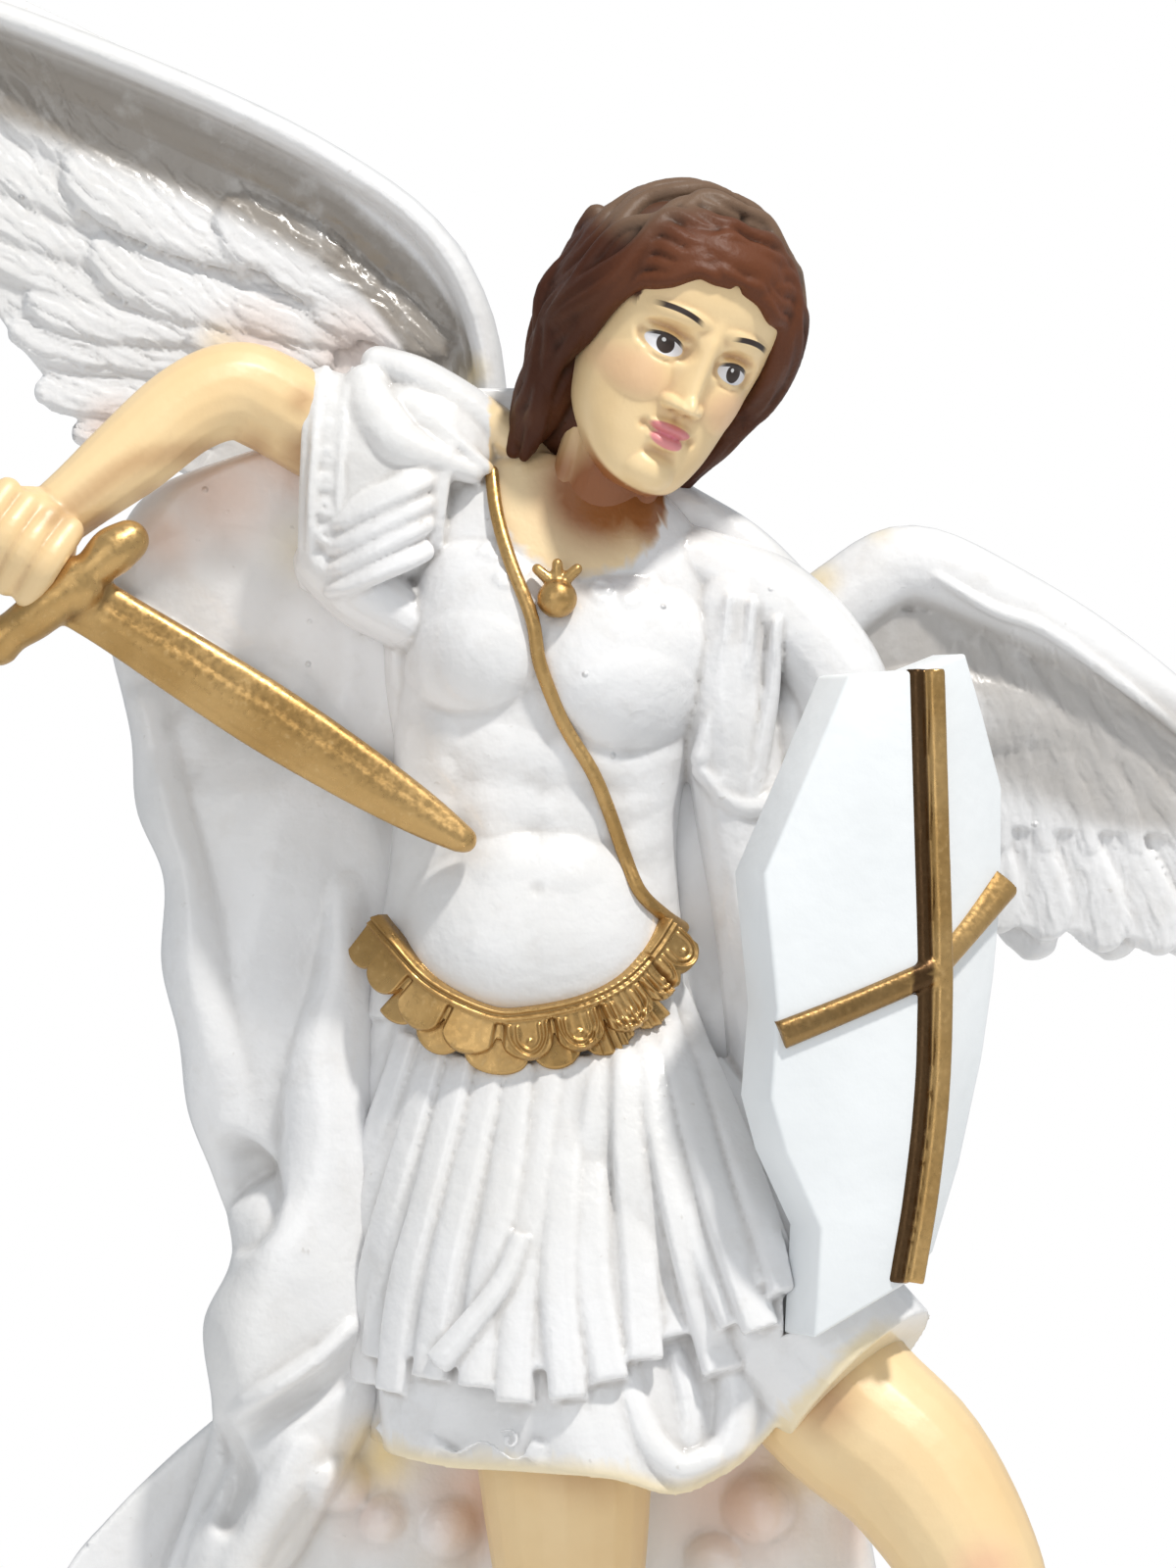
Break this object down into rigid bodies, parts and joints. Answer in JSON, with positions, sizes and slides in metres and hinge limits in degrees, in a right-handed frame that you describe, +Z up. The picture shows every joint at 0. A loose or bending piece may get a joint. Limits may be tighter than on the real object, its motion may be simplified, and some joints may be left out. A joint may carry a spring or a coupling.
{
  "type": "winged archangel statue",
  "caption": "Hand-painted cast plaster statue of a winged archangel in a Roman cuirass, with sword, eight-sided shield and cape, standing on a low rocky base.",
  "frame": {"origin": "on the underside of the base, below the middle of the statue's overall width and depth", "axes": "+Z up, -Y the way the statue faces, +X the figure's left (its shield side)"},
  "size_m": [0.2991, 0.1037, 0.4412],
  "materials": {
    "figure": "pearl white satin paint on plaster, with skin tones, dark brown hair and metallic gold trim",
    "right_wing": "pearl white satin paint on plaster, with grey and brown overspray",
    "left_wing": "pearl white satin paint on plaster, with grey overspray",
    "shield": "flat bluish white paint on plaster, with a metallic gold cross"
  },
  "bodies": {
    "root": {"figure": "figure", "right_wing": "right_wing", "left_wing": "left_wing", "shield": "shield"}
  },
  "joints": []
}
